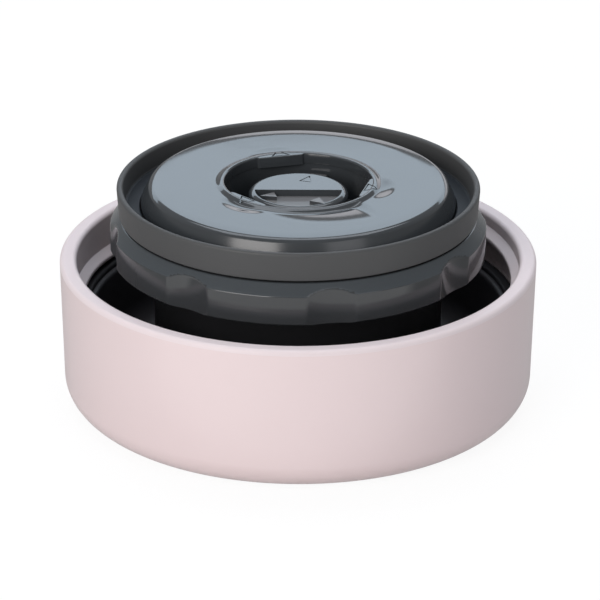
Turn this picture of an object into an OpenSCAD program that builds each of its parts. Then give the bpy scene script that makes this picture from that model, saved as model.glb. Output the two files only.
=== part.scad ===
// Insulated bowl with a threaded mouth, and the sealed stopper lid that stands in it.
// Millimetres. +Z is up, the origin is the middle of the base, and the front faces -Y.

/* [Bowl] */
// Outer diameter of the rim
bowl_d = 112.4; // [108:0.2:120]
// Height from the table to the top of the rim
bowl_h = 35.6; // [33:0.2:40]
// How far the side wall draws in from rim to base, on the radius
wall_draft = 0.8; // [0.2:0.1:1.6]
// Radius of the corner between side wall and base
base_corner_r = 6.5; // [4:0.5:8]
// Wall thickness of the outer shell
shell_t = 1.6; // [1.2:0.1:2]
// Depth of the recess inside the foot
foot_recess = 0.8; // [0.4:0.1:1.2]
// Width of the foot on which the bowl stands
foot_w = 4; // [3:0.5:6]
// Width of the rim, seen from above
rim_w = 4; // [3.6:0.1:5]
// Thickness of the rim above the shell's top edge
rim_t = 1.2; // [1:0.1:1.6]
// Rounding of the rim's outer edge
rim_edge_r = 1.1; // [0.6:0.1:1.1]
// Depth from the rim to the ledge that carries the inner bowl
mouth_depth = 14; // [11:0.2:16]
// Width of the ledge
ledge_w = 2.6; // [2:0.1:3.2]
// Thickness of the ledge
ledge_t = 1.5; // [1:0.1:2]

/* [Inner bowl] */
// Sheet thickness of the inner bowl
liner_t = 0.8; // [0.6:0.1:1]
// How far the inner bowl draws in from ledge to floor, on the radius
liner_draft = 2; // [1:0.2:3]
// Radius of the corner between inner wall and floor
liner_corner_r = 6; // [4:0.5:8]
// Thickness of the insulation under the inner bowl
floor_foam_t = 2.6; // [2:0.2:4]
// Thickness of the sealing ring on the inner bowl's flange
mouth_gasket_t = 1.2; // [0.8:0.1:1.6]

/* [Stopper] */
// Height of the head, from the floor of the bowl to the grip ring
head_h = 30.6; // [29:0.2:34]
// Outer diameter of the head
head_d = 68; // [66:0.5:70]
// Wall thickness of the head cover
head_t = 1.8; // [1.4:0.1:2.2]
// Height of the standing ring under the head
stand_h = 3.4; // [2.6:0.1:4.2]
// Width of the standing ring
stand_w = 5; // [3:0.5:6]
// Outer diameter of the grip ring
grip_d = 88.4; // [87:0.2:92]
// Height of the grip ring
grip_h = 9.6; // [9:0.2:12]
// Height of the sloped shoulder on the grip ring
shoulder_h = 2.6; // [1.6:0.2:3.4]
// Number of finger scallops round the grip ring
scallop_count = 8; // [4:1:10]
// Width of a finger scallop
scallop_w = 13.5; // [8:0.5:15]
// Depth of a finger scallop
scallop_depth = 1.3; // [0.6:0.1:1.5]
// Wall thickness of the grip ring behind its side
grip_t = 3; // [2.6:0.1:3.4]
// Thickness of the grip ring's webs
web_t = 2; // [1.6:0.1:2.4]

/* [Seal and sealing plate] */
// Outer diameter of the silicone seal
seal_d = 84.2; // [83:0.2:85.4]
// Height of the seal above the grip ring
seal_h = 7.5; // [6.6:0.1:8.4]
// Thickness of the seal's free lip
lip_t = 1.5; // [1.2:0.1:1.8]
// Height of the seal's base, inside the lip
seal_base_h = 2.3; // [2:0.1:3]
// Height of the dark gap between seal and grip ring
seal_gap = 0.4; // [0.3:0.1:0.6]
// Width of the open groove between the seal's lip and the plate's top
groove_w = 4.2; // [3.9:0.1:5]
// How far the plate's skirt flares towards its foot, on the radius
skirt_flare = 0.5; // [0.2:0.1:0.8]
// Height of the plate's top above the seal's lip
plate_rise = 0.2; // [0:0.1:0.6]
// Rounding of the plate's outer edge
plate_edge_r = 2.2; // [1:0.1:2.4]
// Wall thickness of the sealing plate
plate_t = 1.8; // [1.4:0.1:2.2]

/* [Valve well] */
// Diameter of the round well in the sealing plate
well_d = 34.6; // [34:0.2:36]
// Depth of the well, below the top of the plate
well_depth = 9.7; // [9.5:0.1:11]
// How far the well's rim stands above the plate
well_rim_h = 0.5; // [0.3:0.1:0.8]
// Width of the well's rim
well_rim_w = 2.5; // [2:0.1:3]
// Width of the flat on top of the well's rim
well_flat_w = 0.7; // [0.6:0.1:1]
// Rounding of the well's upper edge
well_edge_r = 0.5; // [0.3:0.1:0.6]
// Number of bayonet tabs
tab_count = 3; // [3:1:3]
// Angle of the first bayonet tab
tab_angle = 105; // [0:1:119]
// Width of a tab
tab_w = 11.6; // [9:0.2:11.8]
// Rounding of a tab's two free corners
tab_corner_r = 0.8; // [0.4:0.1:1]
// How far a tab reaches into the well
tab_reach = 1.4; // [1.2:0.1:2]
// Depth of a tab's top, below the top of the well's rim
tab_drop = 0.1; // [0.1:0.1:0.4]
// Thickness of a tab
tab_t = 2.6; // [2.2:0.1:2.8]
// Radius of the vent in the well's floor
vent_r = 5; // [4.6:0.1:5.4]
// Height of the raised valve seat round the vent
seat_h = 0.8; // [0.6:0.1:1]
// Width of the valve seat
seat_w = 1.4; // [1:0.1:1.6]

/* [Valve cap] */
// Diameter of the valve cap
cap_d = 23.4; // [22:0.2:24.4]
// Depth of the cap's face, below the top of the plate
cap_drop = 2; // [1.6:0.1:2]
// Rounding of the cap's upper edge
cap_edge_r = 1.4; // [0.6:0.1:1.4]
// Wall left round the finger pocket
pocket_wall = 1.5; // [1.4:0.1:1.8]
// Depth of the half-moon finger pocket
pocket_depth = 1.6; // [1:0.1:1.6]
// Thickness of the pocket's floor
pocket_floor_t = 0.8; // [0.6:0.1:0.8]
// Width of the cap's foot outside its skirt
cap_foot_w = 1.1; // [0.6:0.1:1.5]
// Height of a bayonet lug
lug_h = 2; // [1.4:0.1:2.4]
// Width of a bayonet lug
lug_w = 4.2; // [3:0.2:4.2]
// Turn that brings the lugs under the tabs
lock_turn = 32; // [31:1:40]
// Number of steam windows in the skirt
window_count = 3; // [2:1:4]
// Width of a steam window
window_w = 5; // [3:0.5:5]
// Height of a steam window
window_h = 2; // [1:0.1:2.2]
// Thickness of the gasket under the cap
cap_gasket_t = 1; // [0.8:0.1:1.2]

/* [Button and valve] */
// Diameter of the push button
button_d = 24; // [20:0.5:28]
// Travel of the push button
button_travel = 2; // [1:0.1:2.2]
// Height of the button's face above the floor of the bowl
button_lift = 2.2; // [1.6:0.1:2.6]
// Height of the button's guide collar inside the head
guide_h = 4.2; // [3.6:0.1:6]
// Thickness of the button
button_t = 1.6; // [1.2:0.1:2]
// Diameter of the valve stem
stem_d = 5; // [4:0.2:5.4]
// Outer diameter of the boss that takes the stem
boss_d = 7.4; // [7:0.1:8]
// Radius of the valve's silicone disc
valve_seal_r = 7.2; // [6.8:0.1:7.4]
// Thickness of the valve's silicone disc
valve_seal_t = 1.6; // [1.2:0.1:1.8]
// Thickness of the stem's head
stem_head_t = 0.6; // [0.4:0.1:0.7]
// Inner diameter of the valve tube
tube_d = 12.4; // [11.6:0.2:13]
// Wall thickness of the valve tube
tube_t = 1.8; // [1.2:0.1:2.2]
// Height of the bulkhead's underside above the floor of the bowl
bulkhead_lift = 24.2; // [22:0.2:26]
// Thickness of the bulkhead
bulkhead_t = 3.2; // [3:0.1:4]
// Wire diameter of the valve spring
wire_d = 0.7; // [0.5:0.1:0.8]
// Mean diameter of the valve spring
spring_d = 9.4; // [9.2:0.1:9.6]
// Number of turns of the valve spring
spring_turns = 7; // [5:1:9]

/* [Clearances] */
// Gap between fixed parts that slip together
fit_gap = 0.2; // [0.1:0.05:0.3]
// Gap round parts that slide or turn
run_gap = 0.3; // [0.2:0.05:0.4]
// Radial gap of the stem in its guide
stem_gap = 0.05; // [0.03:0.01:0.1]

/* [Hidden] */

$fn = 128;
// Overshoot of cuts past the faces that they open
over = 1;
// Facets of one turn of the spring, and of its wire
turn_rings = 16;
wire_sides = 8;

// Bowl
rim_r = bowl_d / 2;
base_r = rim_r - wall_draft;
shell_top = bowl_h - rim_t;
shell_floor_z = foot_recess + shell_t;
liner_under_z = shell_floor_z + floor_foam_t;
floor_z = liner_under_z + liner_t;
mouth_r = rim_r - rim_w;
ledge_z = bowl_h - mouth_depth;
ledge_under_z = ledge_z - ledge_t;
ledge_r = mouth_r - ledge_w;
collar_r = wall_r(ledge_under_z) - shell_t - 2 * fit_gap;
liner_top_r = ledge_r - fit_gap;
foot_r = base_r - base_corner_r;
foot_recess_r = foot_r - foot_w;
flange_r = mouth_r - fit_gap;

// Stopper levels
grip_z = floor_z + head_h;
grip_top_z = grip_z + grip_h;
lip_z = grip_top_z + seal_h;
plate_z = lip_z + plate_rise;
face_z = floor_z + stand_h;

// Stopper radii
grip_r = grip_d / 2;
shoulder_r = seal_d / 2 - run_gap;
head_r = head_d / 2;
head_in_r = head_r - head_t;
spigot_r = head_in_r - fit_gap;
spigot_in_r = spigot_r - head_t;
spigot_h = 4;
plate_d = seal_d - 2 * (lip_t + groove_w);
plate_r = plate_d / 2;
skirt_r = plate_r + skirt_flare;
skirt_in_r = plate_r - plate_t;
collar_spigot_r = skirt_in_r - fit_gap;
collar_spigot_in_r = collar_spigot_r - plate_t;
collar_spigot_h = web_t;
seal_r = seal_d / 2;
seal_in_r = skirt_r + fit_gap;
scallop_r = scallop_w * scallop_w / (8 * scallop_depth) + scallop_depth / 2;
scallop_turn = 10;
head_edge_r = 3;
gasket_r = 0.6;

// Valve well
well_r = well_d / 2;
well_wall_r = well_r + plate_t;
well_z = plate_z - well_depth;
well_under_z = well_z - plate_t;
well_rim_z = plate_z + well_rim_h;
tab_top_z = well_rim_z - tab_drop;
tab_under_z = tab_top_z - tab_t;
tab_in_r = well_r - tab_reach;
tab_root_r = well_r + plate_t / 2;
seat_z = well_z + seat_h;
cap_r = cap_d / 2;
cap_z = plate_z - cap_drop;
cap_foot_z = well_z + cap_gasket_t;
cap_foot_r = cap_r + cap_foot_w;
pocket_z = cap_z - pocket_depth;
cap_in_r = valve_seal_r + 3 * run_gap;
cap_in_z = pocket_z - pocket_floor_t;
lug_top_z = tab_under_z - run_gap;
lug_r = well_r - 2 * run_gap;
window_z = cap_foot_z + lug_h / 2;

// Button and valve
button_r = button_d / 2;
button_z = floor_z + button_lift;
guide_r = button_r + run_gap;
guide_wall_r = guide_r + head_t;
guide_top_z = face_z + guide_h;
button_flange_r = guide_wall_r - run_gap;
button_top_z = guide_top_z + button_t;
button_in_r = button_r - button_t;
button_floor_z = button_z + button_t;
stem_r = stem_d / 2;
stem_hole_r = stem_r + stem_gap;
stem_foot_z = button_floor_z;
boss_top_z = button_top_z;
clip_r = boss_d / 2;
clip_t = 0.8;
clip_depth = 0.6;
stem_head_r = vent_r;
stem_head_z = seat_z + valve_seal_t;
tube_r = tube_d / 2;
tube_wall_r = tube_r + tube_t;
tube_flange_r = tube_wall_r + 2 * tube_t;
tube_foot_z = button_top_z + button_travel + run_gap;
bulkhead_z = floor_z + bulkhead_lift;
bulkhead_top_z = bulkhead_z + bulkhead_t;
gland_depth = bulkhead_t / 2;
gland_r = stem_r + 2;
spring_r = spring_d / 2;
wire_r = wire_d / 2;
core_foot_z = face_z + head_t + button_travel + guide_h + 2 * button_t;
core_top_z = well_under_z - tube_t - fit_gap;

// Colours
pink = [0.88, 0.81, 0.81];
black = [0.09, 0.09, 0.1];
plate_grey = [0.29, 0.31, 0.33];
grip_grey = [0.24, 0.25, 0.27];
seal_grey = [0.33, 0.34, 0.35];
foam_white = [0.93, 0.92, 0.88];
steel = [0.75, 0.76, 0.78];

// Outer radius of the bowl at height z
function wall_r(z) = base_r + wall_draft * z / bowl_h;

// Removes all but a quarter round of radius r at the outer corner [x, z].
// sx and sz point from the solid to the corner.
module edge_cut(x, z, r, sx, sz) {
    cx = x - sx * r;
    cz = z - sz * r;
    side = r + over;
    difference() {
        translate([sx < 0 ? cx - side : cx, sz < 0 ? cz - side : cz]) square(side);
        translate([cx, cz]) circle(r);
    }
}

// Section of a ring between two radii and two heights
module band(r_in, r_out, z_lo, z_hi) {
    translate([r_in, z_lo]) square([r_out - r_in, z_hi - z_lo]);
}

// Half section of a cup-shaped solid with a rounded lower corner
module cup_form(r_lo, r_hi, z_lo, z_hi, corner_r) {
    lean = (r_hi - r_lo) / (z_hi - z_lo);
    difference() {
        polygon([[0, z_lo], [r_lo, z_lo], [r_hi, z_hi], [0, z_hi]]);
        edge_cut(r_lo + lean * corner_r, z_lo, corner_r, 1, -1);
    }
}

// The bowl's outer form drawn in by inset, from z_lo to z_hi
module bowl_form(inset, z_lo, z_hi) {
    cup_form(wall_r(z_lo) - inset, wall_r(z_hi) - inset, z_lo, z_hi, base_corner_r - inset);
}

// The hollow of the inner bowl grown by outset, up to z_hi
module hollow_form(outset, z_hi) {
    lean = liner_draft / (ledge_z - floor_z);
    z_lo = floor_z - outset;
    inner_top_r = liner_top_r - liner_t;
    cup_form(
        inner_top_r + outset - lean * (ledge_z - z_lo),
        inner_top_r + outset - lean * (ledge_z - z_hi),
        z_lo, z_hi, liner_corner_r + outset
    );
}

// Places a child at each bayonet tab
module at_tabs() {
    for (i = [0 : tab_count - 1]) {
        rotate(tab_angle + i * 360 / tab_count) children();
    }
}

// The pink shell: side wall, rounded base and recessed foot
module outer_shell() {
    color(pink) rotate_extrude() difference() {
        bowl_form(0, 0, shell_top);
        bowl_form(shell_t, shell_floor_z, shell_top + over);
        band(0, foot_recess_r, -over, foot_recess);
    }
}

// The rim and collar: closes the shell's top edge and carries the inner bowl on a ledge
module mouth_ring() {
    color(pink) rotate_extrude() difference() {
        union() {
            band(mouth_r, wall_r(shell_top), shell_top, bowl_h);
            band(mouth_r, collar_r, ledge_z, shell_top);
            band(ledge_r, collar_r, ledge_under_z, ledge_z);
        }
        edge_cut(wall_r(shell_top), bowl_h, rim_edge_r, 1, 1);
        edge_cut(mouth_r, bowl_h, rim_edge_r, -1, 1);
    }
}

// The black inner bowl with its flange
module inner_bowl() {
    color(black) rotate_extrude() {
        difference() {
            hollow_form(liner_t, ledge_z + liner_t);
            hollow_form(0, ledge_z + liner_t + over);
        }
        band(liner_top_r - liner_t / 2, flange_r, ledge_z, ledge_z + liner_t);
    }
}

// The sealing ring on the inner bowl's flange
module mouth_gasket() {
    gasket_z = ledge_z + liner_t;
    top_z = gasket_z + mouth_gasket_t;
    color(black) rotate_extrude() difference() {
        band(liner_top_r + fit_gap, flange_r, gasket_z, top_z);
        edge_cut(liner_top_r + fit_gap, top_z, mouth_gasket_t / 2, -1, 1);
        edge_cut(flange_r, top_z, mouth_gasket_t / 2, 1, 1);
    }
}

// The foam between shell and inner bowl
module bowl_insulation() {
    foam_top = ledge_under_z - fit_gap;
    color(foam_white) rotate_extrude() difference() {
        intersection() {
            bowl_form(shell_t + fit_gap, shell_floor_z, foam_top);
            band(0, rim_r, shell_floor_z, foam_top);
        }
        hollow_form(liner_t, foam_top + over);
    }
}

// The grip ring: sloped shoulder, finger scallops, a spigot for the head and one for the plate
module grip_ring() {
    color(grip_grey) difference() {
        rotate_extrude() difference() {
            union() {
                polygon([
                    [0, grip_z], [grip_r, grip_z], [grip_r, grip_top_z - shoulder_h],
                    [shoulder_r, grip_top_z], [0, grip_top_z]
                ]);
                band(spigot_in_r, spigot_r, grip_z - spigot_h, grip_z);
                band(collar_spigot_in_r, collar_spigot_r, grip_top_z - over, grip_top_z + collar_spigot_h);
            }
            band(0, spigot_in_r, grip_z - over, grip_z + web_t);
            band(0, collar_spigot_in_r, grip_z + web_t, grip_top_z + collar_spigot_h + over);
            band(0, grip_r - grip_t - scallop_depth, grip_z + web_t, grip_top_z - web_t);
        }
        for (i = [0 : scallop_count - 1]) {
            rotate(scallop_turn + i * 360 / scallop_count)
                translate([grip_r + scallop_r - scallop_depth, 0, grip_z - over])
                    cylinder(r = scallop_r, h = grip_h + 2 * over);
        }
    }
}

// The silicone seal: a base round the plate's skirt and a free upright lip
module seal_ring() {
    base_top_z = grip_top_z + seal_base_h;
    color(seal_grey) rotate_extrude() difference() {
        union() {
            band(seal_in_r, shoulder_r - web_t, grip_top_z, base_top_z);
            band(seal_in_r, seal_r, grip_top_z + seal_gap, base_top_z);
            band(seal_r - lip_t, seal_r, base_top_z, lip_z);
        }
        edge_cut(seal_r, lip_z, lip_t / 2, 1, 1);
        edge_cut(seal_r - lip_t, lip_z, lip_t / 2, -1, 1);
    }
}

// The sealing plate: soft-edged top, flared skirt, and the rimmed well with its bayonet tabs
module dome_plate() {
    color(plate_grey) {
        rotate_extrude() difference() {
            union() {
                polygon([
                    [0, grip_top_z], [skirt_r, grip_top_z], [plate_r, plate_z], [well_r + well_rim_w, plate_z],
                    [well_r + well_flat_w, well_rim_z], [0, well_rim_z]
                ]);
                band(0, well_wall_r, well_under_z, grip_top_z);
            }
            edge_cut(plate_r, plate_z, plate_edge_r, 1, 1);
            band(well_wall_r, skirt_in_r, grip_top_z - over, plate_z - plate_t);
            band(0, well_r, seat_z, well_rim_z + over);
            band(vent_r + seat_w, well_r, well_z, plate_z);
            band(0, vent_r, well_under_z - over, plate_z);
            edge_cut(well_r, well_rim_z, well_edge_r, -1, 1);
        }
        intersection() {
            at_tabs() translate([tab_in_r, 0, tab_under_z]) tab_block();
            translate([0, 0, tab_under_z]) cylinder(r = tab_root_r, h = tab_t);
        }
    }
}

// One bayonet tab: a block with two rounded corners at its free edge
module tab_block() {
    length = tab_root_r - tab_in_r;
    inner_w = tab_w - 2 * tab_corner_r;
    translate([tab_corner_r, -tab_w / 2, 0]) cube([length, tab_w, tab_t]);
    translate([0, -inner_w / 2, 0]) cube([length, inner_w, tab_t]);
    for (side = [-1, 1]) {
        translate([tab_corner_r, side * inner_w / 2, 0]) cylinder(r = tab_corner_r, h = tab_t);
    }
}

// The head cover: a cup with a standing ring and the button's guide collar
module head_cover() {
    stand_r = head_r - head_edge_r;
    color(grip_grey) rotate_extrude() difference() {
        union() {
            cup_form(head_r, head_r, face_z, grip_z, head_edge_r);
            band(stand_r - stand_w, stand_r, floor_z, face_z);
        }
        difference() {
            cup_form(head_in_r, head_in_r, face_z + head_t, grip_z + over, head_edge_r - head_t);
            band(0, guide_wall_r, face_z, guide_top_z);
        }
        band(0, guide_r, floor_z, guide_top_z + over);
        band(0, head_in_r + 2 * gasket_r, grip_z - 2 * gasket_r, grip_z + over);
    }
}

// The ring seal between head cover and grip ring
module head_gasket() {
    color(black) rotate_extrude()
        translate([head_in_r + gasket_r, grip_z - gasket_r]) circle(gasket_r - fit_gap / 4);
}

// The foam that fills the stopper
module foam_core() {
    plug_r = collar_spigot_in_r - fit_gap;
    web_top_z = grip_z + web_t;
    color(foam_white) rotate_extrude() difference() {
        union() {
            band(0, spigot_in_r - fit_gap, core_foot_z, core_top_z);
            band(0, plug_r, web_top_z, core_top_z);
        }
        band(0, tube_wall_r + fit_gap, core_foot_z - over, core_top_z + over);
    }
}

// The valve tube: a flanged sleeve with the bulkhead that guides the stem
module valve_tube() {
    flange_z = well_under_z - tube_t;
    color(plate_grey) rotate_extrude() difference() {
        union() {
            band(0, tube_wall_r, tube_foot_z, well_under_z);
            band(0, tube_flange_r, flange_z, well_under_z);
        }
        band(0, tube_r, tube_foot_z - over, bulkhead_z);
        band(0, tube_r, bulkhead_top_z, well_under_z + over);
        band(0, stem_hole_r, bulkhead_z - over, bulkhead_top_z + over);
        band(0, gland_r, bulkhead_top_z - gland_depth, bulkhead_top_z + over);
    }
}

// The ring seal round the stem, in the bulkhead's gland
module stem_seal() {
    color(black) rotate_extrude()
        band(stem_hole_r, gland_r - stem_gap, bulkhead_top_z - gland_depth, bulkhead_top_z);
}

// The flat gasket under the valve cap
module cap_gasket() {
    color(black) rotate_extrude() band(cap_in_r, cap_foot_r, well_z, cap_foot_z);
}

// The valve spring: one wire wound from the button's floor to the bulkhead
module valve_spring() {
    margin = wire_r + stem_gap;
    z_lo = button_floor_z + margin;
    rise = bulkhead_z - margin - z_lo;
    rings = spring_turns * turn_rings;
    points = [
        for (i = [0 : rings], j = [0 : wire_sides - 1])
            let (
                turn = 360 * i / turn_rings,
                side = 360 * j / wire_sides,
                r = spring_r + wire_r * cos(side)
            )
            [r * cos(turn), r * sin(turn), z_lo + rise * i / rings + wire_r * sin(side)]
    ];
    start = [for (j = [0 : wire_sides - 1]) j];
    end = [for (j = [wire_sides - 1 : -1 : 0]) rings * wire_sides + j];
    sides = [
        for (i = [0 : rings - 1], j = [0 : wire_sides - 1])
            let (
                a = i * wire_sides + j,
                b = i * wire_sides + (j + 1) % wire_sides
            )
            each [[a, a + wire_sides, b], [b, a + wire_sides, b + wire_sides]]
    ];
    color(steel) polyhedron(points, concat([start], sides, [end]));
}

// The valve cap: face with a half-moon finger pocket, open skirt and bayonet lugs
module valve_cap() {
    color(plate_grey) difference() {
        union() {
            rotate_extrude() difference() {
                union() {
                    band(0, cap_r, cap_foot_z, cap_z);
                    band(0, cap_foot_r, cap_foot_z, cap_foot_z + lug_h / 2);
                }
                edge_cut(cap_r, cap_z, cap_edge_r, 1, 1);
            }
            rotate(-lock_turn) at_tabs() bayonet_lug();
        }
        translate([0, 0, cap_foot_z - over]) cylinder(r = cap_in_r, h = cap_in_z - cap_foot_z + over);
        finger_pocket();
        for (i = [0 : window_count - 1]) {
            rotate(tab_angle + (i + 0.5) * 360 / window_count)
                translate([0, -window_w / 2, window_z]) cube([cap_r + over, window_w, window_h]);
        }
    }
}

// One lug that locks under a tab
module bayonet_lug() {
    intersection() {
        translate([0, -lug_w / 2, lug_top_z - lug_h]) cube([lug_r, lug_w, lug_h]);
        translate([0, 0, lug_top_z - lug_h]) cylinder(r = lug_r, h = lug_h);
    }
}

// The half-moon pocket in the front of the cap's face
module finger_pocket() {
    pocket_r = cap_r - pocket_wall;
    intersection() {
        translate([0, 0, pocket_z]) cylinder(r = pocket_r, h = pocket_depth + over);
        translate([-cap_r, -cap_r, pocket_z]) cube([cap_d, cap_r, pocket_depth + over]);
    }
}

// The push button: a cup with a stop flange and the boss that takes the stem
module push_button() {
    color(plate_grey) rotate_extrude() difference() {
        union() {
            band(0, button_r, button_z, button_top_z);
            band(0, button_flange_r, guide_top_z, button_top_z);
        }
        edge_cut(button_r, button_z, button_t / 2, 1, -1);
        band(boss_d / 2, button_in_r, button_floor_z, button_top_z + over);
        band(0, stem_hole_r, stem_foot_z, button_top_z + over);
    }
}

// The valve stem: a rod with a flat head, grooved for its clip
module valve_stem() {
    groove_r = stem_r - clip_depth;
    color(steel) rotate_extrude() difference() {
        union() {
            band(0, stem_r, stem_foot_z, stem_head_z + stem_head_t);
            band(0, stem_head_r, stem_head_z, stem_head_z + stem_head_t);
        }
        band(groove_r, stem_r + over, boss_top_z, boss_top_z + clip_t);
    }
}

// The silicone disc that closes the vent
module valve_seal() {
    color(seal_grey) rotate_extrude() difference() {
        band(stem_hole_r, valve_seal_r, seat_z, stem_head_z);
        edge_cut(valve_seal_r, stem_head_z, valve_seal_t / 2, 1, 1);
    }
}

// The retaining ring that keeps the button on the stem
module stem_clip() {
    groove_r = stem_r - clip_depth + stem_gap;
    color(steel) difference() {
        rotate_extrude() band(groove_r, clip_r, boss_top_z, boss_top_z + clip_t);
        translate([0, -groove_r, boss_top_z - over]) cube([clip_r + over, 2 * groove_r, clip_t + 2 * over]);
    }
}

outer_shell();
mouth_ring();
inner_bowl();
mouth_gasket();
bowl_insulation();
grip_ring();
seal_ring();
dome_plate();
head_cover();
foam_core();
head_gasket();
valve_tube();
stem_seal();
cap_gasket();
valve_spring();
valve_cap();
push_button();
valve_stem();
valve_seal();
stem_clip();
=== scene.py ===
"""Low insulated bowl with a threaded mouth, and a sealing stopper that stands in it with its seal side up."""

import math

import bmesh
import bpy
from bpy.props import FloatProperty, FloatVectorProperty, IntProperty, PointerProperty
from mathutils import Matrix, Quaternion, Vector


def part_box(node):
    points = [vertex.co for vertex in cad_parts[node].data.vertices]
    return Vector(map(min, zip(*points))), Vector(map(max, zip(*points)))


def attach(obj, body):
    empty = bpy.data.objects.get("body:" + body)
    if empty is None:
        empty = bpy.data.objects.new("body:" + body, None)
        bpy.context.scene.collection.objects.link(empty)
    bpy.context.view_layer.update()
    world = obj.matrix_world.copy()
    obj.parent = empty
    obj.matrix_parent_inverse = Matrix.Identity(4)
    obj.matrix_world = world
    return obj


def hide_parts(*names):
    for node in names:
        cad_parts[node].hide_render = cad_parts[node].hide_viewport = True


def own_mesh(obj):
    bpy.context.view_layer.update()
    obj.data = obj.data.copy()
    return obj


bl_info = {
    "name": "Insulated Bowl with Stopper Lid",
    "version": (1, 0, 0),
    "blender": (4, 5, 0),
    "location": "3D View > Sidebar > Bowl",
    "description": "Builds the bowl, its stopper lid, their finishes and the studio on the fixed frame",
    "category": "Object",
}

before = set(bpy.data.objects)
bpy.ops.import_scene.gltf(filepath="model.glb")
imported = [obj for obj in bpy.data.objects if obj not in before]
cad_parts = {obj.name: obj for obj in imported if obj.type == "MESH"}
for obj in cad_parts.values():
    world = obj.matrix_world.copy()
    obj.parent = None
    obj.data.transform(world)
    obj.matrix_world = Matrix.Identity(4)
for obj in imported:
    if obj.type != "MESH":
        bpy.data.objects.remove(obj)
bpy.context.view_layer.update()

MM = 0.001
ORIGIN = (0.0, 0.0, 0.0)
UP = (0.0, 0.0, 1.0)
TURN_STEPS = 256
PLATE_STEPS = 480
GRIP_STEPS = 640
SMALLEST_GAP = 1e-7
OVERSHOOT = 1.0 * MM
SHARP_ANGLE = math.radians(33.0)

# Roundings that many edges share
FINE_EDGE = 0.2 * MM
EDGE = 0.3 * MM
SOFT_EDGE = 0.6 * MM


# Settings

def reach(node):
    """Outer radius of a round node of the frame, in metres."""
    low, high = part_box(node)
    return (high.x - low.x) / 2.0


def top(node):
    """Highest point of a node of the frame, in metres."""
    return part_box(node)[1].z


def foot(node):
    """Lowest point of a node of the frame, in metres."""
    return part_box(node)[0].z


def length(name, description, default):
    """A size in metres that a user may change."""
    return FloatProperty(
        name=name, description=description, default=default, min=0.0, precision=5, unit="LENGTH",
        subtype="DISTANCE")


def level(name, description, default):
    """A plain number from nought up that a user may change."""
    return FloatProperty(name=name, description=description, default=default, min=0.0)


def angle(name, description, degrees):
    """An angle that a user may change, given here in degrees."""
    return FloatProperty(
        name=name, description=description, default=math.radians(degrees), unit="ROTATION", subtype="ANGLE")


def colour(name, description, default):
    """A colour that a user may change."""
    return FloatVectorProperty(
        name=name, description=description, default=default, size=3, min=0.0, max=1.0, subtype="COLOR")


class BowlSizes(bpy.types.PropertyGroup):
    """Sizes of the bowl's shell, rim, thread and lining"""
    rim_radius: length("Rim radius", "Outer radius at the rim", reach("mouth_ring"))
    rim_top: length("Rim height", "Height of the rim over the table", top("mouth_ring"))
    rim_edge: length("Rim edge", "Rounding of the rim's two edges", 1.1 * MM)
    shell_top: length("Shell height", "Height at which the shell meets the rim", top("outer_shell"))
    base_radius: length("Base radius", "Radius that the wall would have at the table", 55.4 * MM)
    base_corner: length("Base corner", "Rounding between wall and base", 6.5 * MM)
    wall: length("Wall", "Thickness of the shell", 1.6 * MM)
    foot_radius: length("Foot recess", "Radius of the recess under the base", 44.9 * MM)
    foot_recess: length("Recess depth", "Depth of the recess under the base", 0.8 * MM)
    mouth_radius: length("Mouth radius", "Radius of the threaded wall", 52.2 * MM)
    ledge_radius: length("Ledge radius", "Inner radius of the ledge that carries the lining", 49.6 * MM)
    collar_radius: length("Collar radius", "Outer radius of the collar inside the shell", 53.85 * MM)
    collar_foot: length("Collar foot", "Height of the ledge's underside", foot("mouth_ring"))
    lining_flange: length("Lining flange", "Outer radius of the lining's flange", reach("inner_bowl"))
    lining_top: length("Lining top", "Height of the lining's flange", top("inner_bowl"))
    lining_foot: length("Lining foot", "Height of the lining's underside", foot("inner_bowl"))
    lining_neck: length("Lining neck", "Outer radius of the lining under its flange", 49.4 * MM)
    lining_taper: length("Lining taper", "How much narrower the lining is at its floor", 2.0 * MM)
    lining_corner: length("Lining corner", "Rounding between the lining's wall and floor", 6.0 * MM)
    sheet: length("Lining sheet", "Thickness of the lining", 0.8 * MM)
    gasket_top: length("Gasket top", "Height of the gasket's upper face", top("mouth_gasket"))
    thread_pitch: length("Thread pitch", "Rise of the thread in one turn", 8.2 * MM)
    thread_depth: length("Thread depth", "How far the thread stands out of the wall", 1.95 * MM)
    thread_root: length("Thread root", "Half the thread's height at the wall", 2.0 * MM)
    thread_crest: length("Thread crest", "Half the thread's height at its crest", 0.45 * MM)
    thread_low: length("Thread start", "Height of the thread's middle at its start", 24.7 * MM)
    thread_angle: angle("Thread start angle", "Where the thread starts round the mouth", 130.0)
    thread_sweep: angle("Thread sweep", "How far round the mouth the thread runs", 330.0)


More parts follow.
